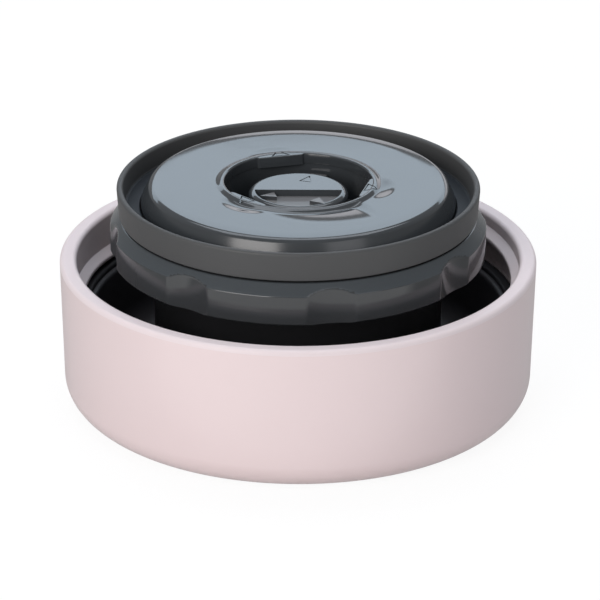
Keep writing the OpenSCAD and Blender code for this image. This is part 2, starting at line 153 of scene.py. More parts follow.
class StopperSizes(bpy.types.PropertyGroup):
    """Sizes of the stopper's head, grip, seal and sealing plate"""
    head_radius: length("Head radius", "Outer radius of the head", reach("head_cover"))
    head_foot: length("Head foot", "Height of the ring that the stopper stands on", foot("head_cover"))
    head_top: length("Head top", "Height of the head's upper edge", top("head_cover"))
    head_face: length("Head face", "Height of the head's flat face", 9.2 * MM)
    head_corner: length("Head corner", "Rounding between the head's wall and face", 2.9 * MM)
    head_wall: length("Head wall", "Thickness of the head's wall", 1.8 * MM)
    stand_inner: length("Standing ring inside", "Inner radius of the standing ring", 26.0 * MM)
    stand_outer: length("Standing ring outside", "Outer radius of the standing ring", 31.0 * MM)
    guide_radius: length("Button guide", "Radius of the button's hole", 12.3 * MM)
    guide_top: length("Guide top", "Height of the button guide's edge", 13.4 * MM)
    grip_radius: length("Grip radius", "Outer radius of the grip ring", reach("grip_ring"))
    grip_foot: length("Grip foot", "Height of the grip ring's underside", 36.4 * MM)
    grip_top: length("Grip top", "Height of the grip ring's upper face", 46.0 * MM)
    grip_crease: length("Grip crease", "Rounding where wall and shoulder meet", 0.15 * MM)
    shoulder_radius: length("Shoulder radius", "Radius at the top of the sloping shoulder", 41.8 * MM)
    shoulder_height: length("Shoulder height", "Height of the sloping shoulder", 2.6 * MM)
    spigot_radius: length("Spigot radius", "Outer radius of the part inside the head", 32.0 * MM)
    scallop_count: IntProperty(
        name="Scallops", description="Number of finger hollows", default=8, min=3, max=24)
    scallop_angle: angle("Scallop angle", "Where the first finger hollow stands", 10.0)
    scallop_width: length("Scallop width", "Width of a finger hollow", 13.5 * MM)
    scallop_depth: length("Scallop depth", "Depth of a finger hollow", 1.3 * MM)
    seal_radius: length("Seal radius", "Outer radius of the seal ring", reach("seal_ring"))
    seal_top: length("Seal top", "Height of the seal's lip", top("seal_ring"))
    lip_wall: length("Lip wall", "Thickness of the seal's lip", 1.5 * MM)
    lip_flare: length("Lip flare", "How far the lip leans outwards at its top", 0.5 * MM)
    plate_radius: length("Plate radius", "Radius of the sealing plate's top", 34.9 * MM)
    plate_top: length("Plate top", "Height of the sealing plate's face", 53.7 * MM)
    plate_foot: length("Plate foot", "Height of the well's underside", foot("dome_plate"))
    plate_edge: length("Plate edge", "Rounding of the plate's outer edge", 1.0 * MM)
    plate_crown: length("Plate crown", "Width of the slow fall to the plate's edge", 4.2 * MM)
    plate_bend: level("Plate bend", "How quickly the slow fall bends", 9.0)
    skirt_radius: length("Skirt radius", "Outer radius of the plate's lower edge", reach("dome_plate"))
    well_radius: length("Well radius", "Radius of the round well", 17.3 * MM)
    well_edge: length("Well edge", "Rounding of the well's upper edge", 0.45 * MM)
    well_floor: length("Well floor", "Height of the well's floor", 44.0 * MM)
    rim_top: length("Rim top", "Height of the rim round the well", top("dome_plate"))
    rim_flat: length("Rim flat", "Width of the flat on the well's rim", 0.75 * MM)
    rim_width: length("Rim width", "Width of the well's rim with its outer slope", 2.2 * MM)
    tab_inner: length("Tab edge", "Radius of a bayonet tab's free edge", 15.9 * MM)
    tab_width: length("Tab width", "Width of a bayonet tab", 11.6 * MM)
    tab_corner: length("Tab corner", "Rounding of a tab's free corners", 0.8 * MM)
    tab_foot: length("Tab foot", "Height of a tab's underside", 51.5 * MM)
    tab_top: length("Tab top", "Height of a tab's upper face", 54.1 * MM)
    tab_angle: angle("Tab angle", "Where the first bayonet tab stands", 105.0)


class ValveSizes(bpy.types.PropertyGroup):
    """Sizes of the valve cap, the button and the spring"""
    cap_radius: length("Cap radius", "Radius of the cap's upper part", 11.7 * MM)
    cap_top: length("Cap top", "Height of the cap's face", top("valve_cap"))
    cap_edge: length("Cap edge", "Rounding of the cap's upper edge", 1.4 * MM)
    cap_foot: length("Cap foot", "Height of the cap's lower edge", foot("valve_cap"))
    cap_skirt: length("Cap skirt", "Radius of the cap's lower edge", 12.8 * MM)
    cap_bore: length("Cap bore", "Radius of the room for the valve", 8.1 * MM)
    cap_ceiling: length("Cap ceiling", "Height of the room for the valve", 49.3 * MM)
    pocket_radius: length("Pocket radius", "Radius of the half-moon finger pocket", 10.2 * MM)
    pocket_floor: length("Pocket floor", "Height of the finger pocket's floor", 50.1 * MM)
    lug_reach: length("Lug reach", "Radius that the bayonet lugs reach", 16.7 * MM)
    lug_width: length("Lug width", "Width of a bayonet lug", 4.2 * MM)
    lug_foot: length("Lug foot", "Height of a lug's underside", 48.1 * MM)
    lug_top: length("Lug top", "Height of a lug's upper face", 49.5 * MM)
    mark_angle: angle("Mark angle", "Where the first lug and its pointer mark stand on the cap", 73.0)
    button_radius: length("Button radius", "Radius of the button's face", 12.0 * MM)
    button_foot: length("Button face", "Height of the button's face", foot("push_button"))
    button_top: length("Button top", "Height of the button's inner edge", top("push_button"))
    spring_radius: length("Spring radius", "Radius of the coil's middle", 4.7 * MM)
    wire_radius: length("Wire radius", "Radius of the spring wire", 0.35 * MM)
    spring_foot: length("Spring foot", "Height of the spring's lower end", foot("valve_spring"))
    spring_top: length("Spring top", "Height of the spring's upper end", top("valve_spring"))
    spring_turns: FloatProperty(name="Spring turns", description="Turns of the coil", default=7.0, min=2.0)


class FinishColours(bpy.types.PropertyGroup):
    """Colours of the finishes"""
    shell: colour("Shell", "Pale pink lacquer of the shell", (0.76, 0.63, 0.63))
    rim: colour("Rim", "Satin pink of rim and thread", (0.78, 0.68, 0.69))
    lining: colour("Lining", "Black coating of the lining", (0.03, 0.0285, 0.0325))
    rubber: colour("Gaskets", "Black silicone of the gaskets", (0.025, 0.024, 0.027))
    foam: colour("Foam", "Insulating foam", (0.85, 0.84, 0.80))
    grip: colour("Grip", "Glossy dark grey of the grip ring", (0.036, 0.039, 0.042))
    # Painted sheen: the shoulder colour is the grip's grey made lighter and bluer for the light it reflects
    # from above.
    shoulder: colour("Shoulder", "Blue-grey of the grip ring's shoulder", (0.052, 0.06, 0.067))
    seal: colour("Seal", "Matt grey silicone of the seal", (0.063, 0.064, 0.065))
    plate: colour("Plate", "Glossy grey of the sealing plate", (0.045, 0.05, 0.055))
    # Painted shade: the groove colour is the seal's grey darkened for the shade in its groove.
    groove: colour("Groove", "Darker grey of the seal's groove", (0.024, 0.028, 0.034))
    # Painted light: the pocket colour is the plate's grey made lighter for the light its floor reflects.
    pocket: colour("Pocket", "Lighter matt grey of the finger pocket", (0.175, 0.175, 0.18))
    head: colour("Head", "Satin dark grey of the head", (0.016, 0.0165, 0.018))
    stem: colour("Stem", "Natural plastic of the valve stem", (0.70, 0.70, 0.68))
    wire: colour("Wire", "Spring steel", (0.60, 0.60, 0.62))


class StudioSettings(bpy.types.PropertyGroup):
    """Camera and light"""
    lens: FloatProperty(
        name="Lens", description="Focal length in millimetres", default=214.0, min=1.0, unit="CAMERA")
    camera_height: length("Camera height", "Height of the camera over the table", 363.8 * MM)
    camera_back: length("Camera distance", "How far the camera stands in front", 775.2 * MM)
    camera_roll: angle("Camera roll", "Tilt of the camera about its view", 0.24)
    ambient: level("Ambient", "Soft light from all round", 0.20)
    surround: level("Surround", "Level of the dim studio in reflections", 0.33)
    floor_gleam: level("Floor gleam", "Lit front of the floor in reflections", 1.3)
    floor_dim: level("Floor shade", "Rest of the floor in reflections", 0.45)


# Mesh tools

def lathe(outline, steps=TURN_STEPS):
    """Turns an outline of (radius, height, ease) corners about Z into a closed mesh.

    The ease is how far from its corner a rounding starts. An outline that starts and ends on the axis stays
    open there.
    """
    bm = bmesh.new()
    corners = [bm.verts.new((radius, 0.0, height)) for radius, height, _ in outline]
    pairs = list(zip(corners, corners[1:]))
    if outline[0][0] > 0.0 or outline[-1][0] > 0.0:
        pairs.append((corners[-1], corners[0]))
    for start, end in pairs:
        bm.edges.new((start, end))
    for corner, (_, _, ease) in zip(corners, outline):
        if ease > 0.0:
            round_corners(bm, [corner], ease, rounding_steps(ease))
    bmesh.ops.spin(
        bm, geom=bm.verts[:] + bm.edges[:], cent=ORIGIN, axis=UP, dvec=ORIGIN, angle=math.tau, steps=steps,
        use_merge=True, use_duplicate=False)
    bmesh.ops.remove_doubles(bm, verts=bm.verts, dist=SMALLEST_GAP)
    bmesh.ops.dissolve_verts(bm, verts=[vert for vert in bm.verts if is_flat_pole(vert)])
    bmesh.ops.recalc_face_normals(bm, faces=bm.faces)
    return bm


def round_corners(bm, corners, ease, segments):
    """Rounds corners of an outline or a flat sheet."""
    bmesh.ops.bevel(
        bm, geom=corners, offset=ease, offset_type="OFFSET", segments=segments, profile=0.5,
        affect="VERTICES", material=-1)


def is_flat_pole(vert):
    """True for a point on the axis with all neighbours at its height, so that one round face can close it."""
    return vert.co.xy.length < SMALLEST_GAP and all(
        abs(edge.other_vert(vert).co.z - vert.co.z) < SMALLEST_GAP for edge in vert.link_edges)


def rounding_steps(ease):
    """Segments of a rounding: fine on a large corner, few on a small one."""
    return max(3, min(18, round(ease / (0.15 * MM)) + 2))


def rows(start, end, count):
    """Corners between two points of an outline, without its ends, for a surface that is shaped later."""
    return [
        (start[0] + (end[0] - start[0]) * i / count, start[1] + (end[1] - start[1]) * i / count, 0.0)
        for i in range(1, count)
    ]


def smooth(share):
    """Eases a share between 0 and 1 at both ends, and holds it there."""
    share = min(1.0, max(0.0, share))
    return share * share * (3.0 - 2.0 * share)


def disc(radius, low, high, segments):
    """An upright closed cylinder."""
    bm = bmesh.new()
    bmesh.ops.create_cone(
        bm, cap_ends=True, cap_tris=False, segments=segments, radius1=radius, radius2=radius,
        depth=high - low, matrix=Matrix.Translation((0.0, 0.0, (low + high) / 2.0)))
    return bm


def block(low, high):
    """A closed box between two corners."""
    bm = bmesh.new()
    middle = (Vector(low) + Vector(high)) / 2.0
    span = Vector(high) - Vector(low)
    bmesh.ops.create_cube(bm, size=1.0, matrix=Matrix.Translation(middle) @ Matrix.Diagonal((*span, 1.0)))
    return bm


def points_of(parts):
    """The vertices among mixed parts of a mesh."""
    return [part for part in parts if isinstance(part, bmesh.types.BMVert)]


def pull_to(vert, wanted):
    """Moves a vertex straight in or out to another radius."""
    share = wanted / vert.co.xy.length
    vert.co.x *= share
    vert.co.y *= share


def raise_faces(bm, height):
    """Pulls a flat sheet up into a closed solid of that height."""
    pulled = bmesh.ops.extrude_face_region(bm, geom=bm.faces[:])
    bmesh.ops.translate(bm, vec=(0.0, 0.0, height), verts=points_of(pulled["geom"]))
    bmesh.ops.recalc_face_normals(bm, faces=bm.faces)
    return bm


def pointer(base_radius, tip_radius, width, low, high, line=0.0):
    """A triangle along +X that points outwards, solid or as a line round its edge, pulled up into a prism."""
    bm = bmesh.new()
    half = width / 2.0
    places = ((base_radius, -half, low), (tip_radius, 0.0, low), (base_radius, half, low))
    face = bm.faces.new([bm.verts.new(place) for place in places])
    if line > 0.0:
        face.normal_update()
        bmesh.ops.inset_region(bm, faces=[face], thickness=line, use_boundary=True, use_even_offset=True)
        bmesh.ops.delete(bm, geom=[face], context="FACES")
    return raise_faces(bm, high - low)


def ring_of(bm, count, first_angle):
    """Turns a shape to its first angle and repeats it evenly about Z."""
    bmesh.ops.rotate(bm, cent=ORIGIN, matrix=Matrix.Rotation(first_angle, 3, "Z"), verts=bm.verts)
    if count > 1:
        bmesh.ops.spin(
            bm, geom=bm.verts[:] + bm.edges[:] + bm.faces[:], cent=ORIGIN, axis=UP, dvec=ORIGIN,
            angle=math.tau * (count - 1) / count, steps=count - 1, use_merge=False, use_duplicate=True)
    return bm


def trial_object(bm):
    """A passing object that holds a mesh for one boolean step."""
    mesh = bpy.data.meshes.new("trial")
    bm.to_mesh(mesh)
    bm.free()
    trial = bpy.data.objects.new("trial", mesh)
    bpy.context.scene.collection.objects.link(trial)
    return trial


def combine(bm, tool, operation):
    """Joins the tool to a mesh, cuts it off or keeps what they share. Both are used up."""
    if not tool.faces:
        raise RuntimeError(f"A {operation.lower()} step has an empty tool.")
    body, cutter = trial_object(bm), trial_object(tool)
    step = body.modifiers.new("combine", "BOOLEAN")
    step.operation = operation
    step.solver = "EXACT"
    step.object = cutter
    result = bmesh.new()
    result.from_object(body, bpy.context.evaluated_depsgraph_get())
    for trial in (body, cutter):
        mesh = trial.data
        bpy.data.objects.remove(trial)
        bpy.data.meshes.remove(mesh)
    if not result.faces:
        raise RuntimeError(f"A {operation.lower()} step left nothing.")
    bmesh.ops.remove_doubles(result, verts=result.verts, dist=SMALLEST_GAP)
    return result


def soften(bm, width, picks):
    """Rounds the sharp edges that the test picks by their two ends."""
    least_angle = math.radians(40.0)
    chosen = [
        edge for edge in bm.edges
        if len(edge.link_faces) == 2 and edge.calc_face_angle(0.0) > least_angle
        and all(picks(vert.co) for vert in edge.verts)
    ]
    bmesh.ops.bevel(
        bm, geom=chosen, offset=width, offset_type="OFFSET", segments=3, profile=0.5, affect="EDGES",
        clamp_overlap=True, material=-1)


def wind(section, turn, steps, lift, shape):
    """Sweeps a closed section round Z in small steps.

    lift(i) is the rise of each step, and shape(i, verts) fits the new end.
    """
    bm = section
    end = bm.verts[:] + bm.edges[:]
    shape(0, points_of(end))
    for i in range(1, steps + 1):
        swept = bmesh.ops.spin(
            bm, geom=end, cent=ORIGIN, axis=UP, dvec=(0.0, 0.0, lift(i)), angle=turn / steps, steps=1,
            use_merge=False, use_duplicate=False)
        end = swept["geom_last"]
        shape(i, points_of(end))
    bmesh.ops.holes_fill(bm, edges=bm.edges, sides=0)
    bmesh.ops.recalc_face_normals(bm, faces=bm.faces)
    return bm


def set_piece(bm, name, body, finish, slot, *nodes):
    """Makes a closed mesh a piece that rides on a body and stands for nodes of the frame."""
    loose = [edge for edge in bm.edges if not edge.is_manifold]
    if loose:
        raise RuntimeError(f"{name} has {len(loose)} open edges.")
    mesh = bpy.data.meshes.new(name)
    bm.to_mesh(mesh)
    bm.free()
    mesh.shade_smooth()
    mesh.set_sharp_from_angle(angle=SHARP_ANGLE)
    mesh.materials.append(bpy.data.materials[finish])
    piece = bpy.data.objects.new(name, mesh)
    bpy.context.scene.collection.objects.link(piece)
    even = piece.modifiers.new("even_shading", "WEIGHTED_NORMAL")
    even.mode = "FACE_AREA"
    even.keep_sharp = True
    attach(piece, body)
    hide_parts(*nodes)
    return piece


def second_finish(piece, finish, picks):
    """Gives the faces that the test picks another finish."""
    piece.data.materials.append(bpy.data.materials[finish])
    for face in piece.data.polygons:
        if picks(face):
            face.material_index = 1


# Node tools

VECTOR = "NodeSocketVector"
NUMBER = "NodeSocketFloat"
COLOUR = "NodeSocketColor"


def add(tree, kind, values=None, **settings):
    """Adds a shader node with its settings and its plain input values."""
    node = tree.nodes.new(kind)
    for name, value in settings.items():
        setattr(node, name, value)
    for name, value in (values or {}).items():
        node.inputs[name].default_value = value
    return node


def new_group(name, inputs, outputs):
    """An empty node group with named sockets, and its two end nodes."""
    tree = bpy.data.node_groups.new(name, "ShaderNodeTree")
    for socket, kind in inputs:
        tree.interface.new_socket(name=socket, in_out="INPUT", socket_type=kind)
    for socket, kind in outputs:
        tree.interface.new_socket(name=socket, in_out="OUTPUT", socket_type=kind)
    return tree, tree.nodes.new("NodeGroupInput"), tree.nodes.new("NodeGroupOutput")


def fine_grain_group():
    """Fine moulding grain as a height, and slow clouds as a tone round one half."""
    tree, start, end = new_group(
        "fine_grain",
        (("Vector", VECTOR), ("Grain Scale", NUMBER), ("Cloud Scale", NUMBER)),
        (("Height", NUMBER), ("Tone", NUMBER)))
    grain = add(tree, "ShaderNodeTexNoise", {"Detail": 3.0, "Roughness": 0.55})
    clouds = add(tree, "ShaderNodeTexNoise", {"Detail": 4.0, "Roughness": 0.6, "Distortion": 0.3})
    for noise, scale in ((grain, "Grain Scale"), (clouds, "Cloud Scale")):
        tree.links.new(start.outputs["Vector"], noise.inputs["Vector"])
        tree.links.new(start.outputs[scale], noise.inputs["Scale"])
    tree.links.new(grain.outputs["Fac"], end.inputs["Height"])
    tree.links.new(clouds.outputs["Fac"], end.inputs["Tone"])
    return tree


def handling_marks_group():
    """Faint smears from fingers and cloths as a mask."""
    tree, start, end = new_group(
        "handling_marks", (("Vector", VECTOR), ("Scale", NUMBER)), (("Mask", NUMBER),))
    smear = add(tree, "ShaderNodeTexNoise", {"Detail": 5.0, "Roughness": 0.65, "Distortion": 1.6})
    window = add(
        tree, "ShaderNodeMapRange", {"From Min": 0.55, "From Max": 0.78}, interpolation_type="SMOOTHSTEP")
    tree.links.new(start.outputs["Vector"], smear.inputs["Vector"])
    tree.links.new(start.outputs["Scale"], smear.inputs["Scale"])
    tree.links.new(smear.outputs["Fac"], window.inputs["Value"])
    tree.links.new(window.outputs["Result"], end.inputs["Mask"])
    return tree


def tone_group():
    """A colour made a little lighter or darker by a tone."""
    tree, start, end = new_group(
        "toned_colour", (("Color", COLOUR), ("Tone", NUMBER), ("Amount", NUMBER)), (("Color", COLOUR),))
    centre = add(tree, "ShaderNodeMath", operation="SUBTRACT")
    centre.inputs[1].default_value = 0.5
    lift = add(tree, "ShaderNodeMath", operation="MULTIPLY_ADD")
    lift.inputs[2].default_value = 1.0
    shade = add(tree, "ShaderNodeHueSaturation")
    tree.links.new(start.outputs["Tone"], centre.inputs[0])
    tree.links.new(centre.outputs[0], lift.inputs[0])
    tree.links.new(start.outputs["Amount"], lift.inputs[1])
    tree.links.new(lift.outputs[0], shade.inputs["Value"])
    tree.links.new(start.outputs["Color"], shade.inputs["Color"])
    tree.links.new(shade.outputs["Color"], end.inputs["Color"])
    return tree


def mould_waves_group():
    """The slow unevenness of a large glossy moulding as a height."""
    tree, start, end = new_group(
        "mould_waves", (("Vector", VECTOR), ("Scale", NUMBER)), (("Height", NUMBER),))
    wave = add(tree, "ShaderNodeTexNoise", {"Detail": 1.0, "Roughness": 0.3})
    tree.links.new(start.outputs["Vector"], wave.inputs["Vector"])
    tree.links.new(start.outputs["Scale"], wave.inputs["Scale"])
    tree.links.new(wave.outputs["Fac"], end.inputs["Height"])
    return tree


def build_finish(name, base, roughness, grain, clouds, shade, smears, waves=(0.0, 0.0), **plain):
    """A finish on Object coordinates.

    roughness is (middle, spread by clouds, rise in smears), grain (scale, depth), clouds their scale, shade
    how far they change the colour, smears the scale of the marks and waves (scale, depth). plain holds the
    shader's own values. Depths are in metres.
    """
    material = bpy.data.materials.new(name)
    material.use_nodes = True
    material.diffuse_color = (*base, 1.0)
    tree = material.node_tree
    shader = tree.nodes["Principled BSDF"]
    for socket, value in plain.items():
        shader.inputs[socket.replace("_", " ").title().replace("Ior", "IOR")].default_value = value
    place = add(tree, "ShaderNodeTexCoord").outputs["Object"]
    groups = bpy.data.node_groups
    surface = add(tree, "ShaderNodeGroup", node_tree=groups["fine_grain"])
    surface.inputs["Grain Scale"].default_value = grain[0]
    surface.inputs["Cloud Scale"].default_value = clouds
    tree.links.new(place, surface.inputs["Vector"])
    tint = add(tree, "ShaderNodeGroup", node_tree=groups["toned_colour"])
    tint.inputs["Color"].default_value = (*base, 1.0)
    tint.inputs["Amount"].default_value = shade
    tree.links.new(surface.outputs["Tone"], tint.inputs["Tone"])
    tree.links.new(tint.outputs["Color"], shader.inputs["Base Color"])
    marks = add(tree, "ShaderNodeGroup", node_tree=groups["handling_marks"])
    marks.inputs["Scale"].default_value = smears
    tree.links.new(place, marks.inputs["Vector"])
    spread = add(tree, "ShaderNodeMapRange", {
        "To Min": max(0.0, roughness[0] - roughness[1]), "To Max": roughness[0] + roughness[1]})
    tree.links.new(surface.outputs["Tone"], spread.inputs["Value"])
    matted = add(tree, "ShaderNodeMath", operation="MULTIPLY_ADD", use_clamp=True)
    matted.inputs[1].default_value = roughness[2]
    tree.links.new(marks.outputs["Mask"], matted.inputs[0])
    tree.links.new(spread.outputs["Result"], matted.inputs[2])
    tree.links.new(matted.outputs[0], shader.inputs["Roughness"])
    relief = add(tree, "ShaderNodeBump", {"Strength": 0.6, "Distance": grain[1]})
    tree.links.new(surface.outputs["Height"], relief.inputs["Height"])
    if waves[1] > 0.0:
        swell = add(tree, "ShaderNodeGroup", node_tree=groups["mould_waves"])
        swell.inputs["Scale"].default_value = waves[0]
        tree.links.new(place, swell.inputs["Vector"])
        slow = add(tree, "ShaderNodeBump", {"Strength": 1.0, "Distance": waves[1]})
        tree.links.new(swell.outputs["Height"], slow.inputs["Height"])
        tree.links.new(slow.outputs["Normal"], relief.inputs["Normal"])
    tree.links.new(relief.outputs["Normal"], shader.inputs["Normal"])
    return material


def pink_lacquer(tones):
    """High-gloss pale pink lacquer with a trace of orange peel."""
    build_finish(
        "pink_lacquer", tones.shell, (0.38, 0.04, 0.05), (900.0, 0.000004), 30.0, 0.03, 40.0,
        (160.0, 0.00001), ior=1.5, coat_weight=0.3, coat_roughness=0.06)


def satin_pink(tones):
    """Satin pink plastic of the rim and the thread."""
    build_finish(
        "satin_pink", tones.rim, (0.38, 0.05, 0.06), (2200.0, 0.000006), 45.0, 0.03, 60.0, ior=1.48,
        specular_ior_level=0.25)


def black_coating(tones):
    """Black non-stick coating with a fine speckle in its gloss."""
    build_finish(
        "black_coating", tones.lining, (0.42, 0.10, 0.05), (3000.0, 0.00001), 60.0, 0.25, 35.0, ior=1.45,
        specular_ior_level=0.3)


def black_rubber(tones):
    """Matt black silicone."""
    build_finish(
        "black_rubber", tones.rubber, (0.65, 0.08, 0.05), (2600.0, 0.000012), 80.0, 0.20, 50.0, ior=1.41,
        specular_ior_level=0.2)


def white_foam(tones):
    """White insulating foam with small cells."""
    build_finish(
        "white_foam", tones.foam, (0.90, 0.05, 0.0), (700.0, 0.00012), 120.0, 0.10, 30.0, ior=1.4)


def gloss_grip(tones):
    """Glossy dark grey plastic of the grip ring."""
    build_finish(
        "gloss_grip", tones.grip, (0.09, 0.02, 0.04), (1800.0, 0.000002), 50.0, 0.10, 70.0,
        (110.0, 0.00002), ior=1.5)


def satin_shoulder_sheen(tones):
    """The grip ring's plastic on its less polished shoulder, made lighter and bluer to paint the sheen of
    light from above.
    """
    build_finish(
        "satin_shoulder_sheen", tones.shoulder, (0.22, 0.03, 0.04), (1800.0, 0.000002), 50.0, 0.10, 70.0, ior=1.5)


def soft_seal(tones):
    """Matt grey silicone of the seal."""
    build_finish(
        "soft_seal", tones.seal, (0.52, 0.06, 0.05), (2400.0, 0.00001), 70.0, 0.10, 60.0, ior=1.42)


def seal_groove_shade(tones):
    """The seal's silicone on the floor of its groove, darkened to paint the shade that falls there."""
    build_finish(
        "seal_groove_shade", tones.groove, (0.52, 0.06, 0.05), (2400.0, 0.00001), 70.0, 0.10, 60.0, ior=1.42,
        specular_ior_level=0.2)


def gloss_plate(tones):
    """High-gloss grey plastic of the sealing plate and the valve cap."""
    build_finish(
        "gloss_plate", tones.plate, (0.07, 0.02, 0.03), (1500.0, 0.000001), 50.0, 0.08, 60.0,
        (70.0, 0.00003), ior=1.5)


def satin_edge(tones):
    """The plate's plastic on its less polished edge."""
    build_finish(
        "satin_edge", tones.plate, (0.20, 0.03, 0.03), (1500.0, 0.000002), 50.0, 0.08, 60.0, ior=1.5)


def matt_pocket_sheen(tones):
    """The plate's plastic with the spark-eroded grain of the finger pocket, made lighter to paint the light
    that its floor reflects.
    """
    build_finish(
        "matt_pocket_sheen", tones.pocket, (0.34, 0.04, 0.03), (2600.0, 0.000004), 60.0, 0.08, 60.0, ior=1.5)


def satin_head(tones):
    """Satin, nearly black plastic of the head and the button."""
    build_finish(
        "satin_head", tones.head, (0.30, 0.05, 0.06), (2000.0, 0.000006), 60.0, 0.15, 50.0, ior=1.48)


def stem_plastic(tones):
    """Natural white plastic of the valve stem."""
    build_finish(
        "stem_plastic", tones.stem, (0.40, 0.05, 0.03), (1800.0, 0.000006), 90.0, 0.05, 60.0, ior=1.48)


def spring_wire(tones):
    """Drawn steel of the spring and the stem's clip."""
    build_finish(
        "spring_wire", tones.wire, (0.28, 0.08, 0.05), (4000.0, 0.000006), 300.0, 0.12, 200.0, metallic=1.0)


FINISHES = (
    pink_lacquer, satin_pink, black_coating, black_rubber, white_foam, gloss_grip, satin_shoulder_sheen, soft_seal,
    seal_groove_shade, gloss_plate, satin_edge, matt_pocket_sheen, satin_head, stem_plastic, spring_wire)

INNER_NODES = {
    "bowl_insulation": "white_foam",
    "foam_core": "white_foam",
    "head_gasket": "black_rubber",
    "stem_seal": "black_rubber",
    "cap_gasket": "black_rubber",
    "valve_tube": "gloss_plate",
    "valve_stem": "stem_plastic",
    "valve_seal": "soft_seal",
    "stem_clip": "spring_wire",
}


# Pieces of the bowl

class BOWL_OT_finishes(bpy.types.Operator):
    """Make the shared node groups and the finishes"""
    bl_idname = "bowl.finishes"
    bl_label = "Finishes"

    def execute(self, context):
        for make in (fine_grain_group, handling_marks_group, tone_group, mould_waves_group):
            make()
        for make in FINISHES:
            make(context.scene.bowl_colours)
        return {"FINISHED"}


class BOWL_OT_shell(bpy.types.Operator):
    """Turn the pink shell with its rounded base and its foot"""
    bl_idname = "bowl.shell"
    bl_label = "Shell"

    def execute(self, context):
        s = context.scene.bowl_sizes
        lean = (s.rim_radius - s.base_radius) / s.shell_top
        floor = s.foot_recess + s.wall
        foot_edge = 0.4 * MM
        bm = lathe([
            (0.0, s.foot_recess, 0.0),
            (s.foot_radius, s.foot_recess, EDGE),
            (s.foot_radius, 0.0, foot_edge),
            (s.base_radius, 0.0, s.base_corner),
            (s.rim_radius, s.shell_top, 0.0),
            (s.rim_radius - s.wall, s.shell_top, 0.0),
            (s.base_radius + lean * floor - s.wall, floor, s.base_corner - s.wall),
            (0.0, floor, 0.0),
        ])
        set_piece(bm, "bowl_shell", "bowl", "pink_lacquer", "pink_shell", "outer_shell")
        return {"FINISHED"}


class BOWL_OT_mouth(bpy.types.Operator):
    """Turn the rim and the collar, and wind the thread into the mouth"""
    bl_idname = "bowl.mouth"
    bl_label = "Mouth"

    def execute(self, context):
        s = context.scene.bowl_sizes
        ledge = s.lining_top - s.sheet
        bm = lathe([
            (s.rim_radius, s.shell_top, 0.0),
            (s.rim_radius, s.rim_top, s.rim_edge),
            (s.mouth_radius, s.rim_top, s.rim_edge),
            (s.mouth_radius, ledge, 0.0),
            (s.ledge_radius, ledge, FINE_EDGE),
            (s.ledge_radius, s.collar_foot, EDGE),
            (s.collar_radius, s.collar_foot, EDGE),
            (s.collar_radius, s.shell_top, 0.0),
        ])
        bm = combine(bm, self.thread(s), "UNION")
        set_piece(bm, "bowl_mouth", "bowl", "satin_pink", "pink_rim", "mouth_ring")
        return {"FINISHED"}

    def thread(self, s):
        """The thread's ridge, rooted in the wall and faded out at both ends."""
        steps = 220
        fade_steps = 18
        root = s.mouth_radius + 0.5 * MM
        crest = s.mouth_radius - s.thread_depth
        lowest = s.gasket_top + 0.1 * MM
        bm = bmesh.new()
        outline = (
            (root, s.thread_root),
            (s.mouth_radius, s.thread_root),
            (crest, s.thread_crest),
            (crest, -s.thread_crest),
            (s.mouth_radius, -s.thread_root),
            (root, -s.thread_root),
        )
        corners = [bm.verts.new((radius, 0.0, s.thread_low + height)) for radius, height in outline]
        for start, end in zip(corners, corners[1:] + corners[:1]):
            bm.edges.new((start, end))
        for corner in corners[2:4]:
            round_corners(bm, [corner], EDGE, 4)
        ring_of(bm, 1, s.thread_angle)

        def fade(i):
            return smooth((min(i, steps - i) + 1) / fade_steps)

        def shape(i, verts):
            change = fade(i) / (fade(i - 1) if i else 1.0)
            for vert in verts:
                flat = vert.co.xy.length
                if flat < s.mouth_radius - SMALLEST_GAP:
                    pull_to(vert, s.mouth_radius - (s.mouth_radius - flat) * change)
                vert.co.z = max(vert.co.z, lowest)

        rise = s.thread_pitch * s.thread_sweep / math.tau / steps
        return wind(bm, s.thread_sweep, steps, lambda i: rise, shape)


class BOWL_OT_lining(bpy.types.Operator):
    """Turn the black lining with its flange and the gasket on it"""
    bl_idname = "bowl.lining"
    bl_label = "Lining and Gasket"

    def execute(self, context):
        s = context.scene.bowl_sizes
        ledge = s.lining_top - s.sheet
        narrow = s.lining_neck - s.lining_taper
        floor = s.lining_foot + s.sheet
        neck_edge = 1.0 * MM
        bm = lathe([
            (0.0, s.lining_foot, 0.0),
            (narrow, s.lining_foot, s.lining_corner + s.sheet),
            (s.lining_neck, ledge, EDGE),
            (s.lining_flange, ledge, 0.0),
            (s.lining_flange, s.lining_top, 0.0),
            (s.lining_neck - s.sheet, s.lining_top, neck_edge),
            (narrow - s.sheet, floor, s.lining_corner),
            (0.0, floor, 0.0),
        ])
        set_piece(bm, "bowl_lining", "bowl", "black_coating", "black_coated_steel", "inner_bowl")
        gasket = lathe([
            (s.ledge_radius, s.lining_top, 0.0),
            (s.lining_flange, s.lining_top, 0.0),
            (s.lining_flange, s.gasket_top, EDGE),
            (s.ledge_radius, s.gasket_top, SOFT_EDGE),
        ])
        set_piece(gasket, "bowl_gasket", "bowl", "black_rubber", "black_silicone", "mouth_gasket")
        return {"FINISHED"}


# Pieces of the stopper

